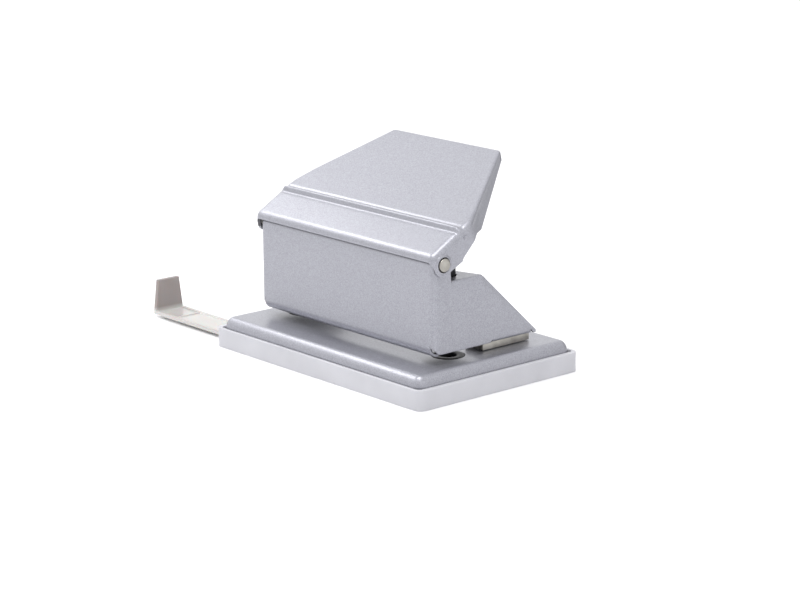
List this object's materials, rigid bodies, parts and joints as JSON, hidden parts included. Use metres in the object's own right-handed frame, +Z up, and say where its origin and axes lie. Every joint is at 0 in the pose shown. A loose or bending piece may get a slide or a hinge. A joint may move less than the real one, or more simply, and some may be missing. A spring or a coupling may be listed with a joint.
{
  "type": "paper hole punch",
  "caption": "Desktop paper punch with a pressed steel lever and body on a sheet steel base, a plastic chip tray and a sliding paper gauge.",
  "frame": {"origin": "centre of the chip tray's flat underside, on the surface the punch stands on", "axes": "+X to the right along the row of punched holes, with the paper gauge pulling out towards -X; +Y from the front panel to the handle's free end; +Z up"},
  "size_m": [0.1641, 0.0752, 0.077],
  "materials": {
    "lacquered_steel": "silver metallic lacquer on pressed sheet steel, satin",
    "zinc_steel": "bright zinc plate on turned or cut steel",
    "black_steel": "black oxide on ground tool steel, lightly oiled",
    "spring_steel": "drawn spring steel wire and stamped clips, oiled",
    "tray_plastic": "white injection-moulded plastic, fine spark texture",
    "gauge_plastic": "smoky clear injection-moulded plastic, polished"
  },
  "bodies": {
    "frame": {"base_plate": "lacquered_steel", "die_left": "zinc_steel", "die_right": "zinc_steel", "paper_stop_left": "zinc_steel", "paper_stop_right": "zinc_steel", "rivet_left_front": "zinc_steel", "rivet_left_rear": "zinc_steel", "rivet_right_front": "zinc_steel", "rivet_right_rear": "zinc_steel", "body_shell": "lacquered_steel", "pin_guide_left": "zinc_steel", "pin_guide_right": "zinc_steel", "axle": "zinc_steel", "axle_clip_left": "spring_steel", "axle_clip_right": "spring_steel", "spring_left": "spring_steel", "spring_right": "spring_steel"},
    "handle": {"lever": "lacquered_steel", "press_bar": "zinc_steel"},
    "punch_left": {"pin_left": "black_steel", "spring_clip_left": "spring_steel"},
    "punch_right": {"pin_right": "black_steel", "spring_clip_right": "spring_steel"},
    "tray": {"chip_tray": "tray_plastic"},
    "gauge": {"paper_gauge": "gauge_plastic"}
  },
  "joints": [
    {"name": "lever_press", "type": "hinge", "parent": "frame", "child": "handle", "pos_m": [0, -0.01935, 0.0465], "axis": [-1, 0, 0], "range_deg": [0, 30], "stiffness_Nm_per_rad": 0.45, "springref_deg": -34.38},
    {"name": "punch_left_slide", "type": "slide", "parent": "frame", "child": "punch_left", "axis": [0, 0, -1], "range_m": [0, 0.006], "deforming": ["spring_left"]},
    {"name": "punch_right_slide", "type": "slide", "parent": "frame", "child": "punch_right", "axis": [0, 0, -1], "range_m": [0, 0.006], "deforming": ["spring_right"]},
    {"name": "tray_open", "type": "hinge", "parent": "frame", "child": "tray", "pos_m": [0, 0.037, 0.0072], "axis": [1, 0, 0], "range_deg": [0, 60]},
    {"name": "gauge_slide", "type": "slide", "parent": "tray", "child": "gauge", "axis": [-1, 0, 0], "range_m": [-0.046, 0.036]}
  ],
  "couplings": [
    {"joint": "punch_left_slide", "follows": "lever_press", "m_per_rad": 0.01123},
    {"joint": "punch_right_slide", "follows": "lever_press", "m_per_rad": 0.01123}
  ]
}
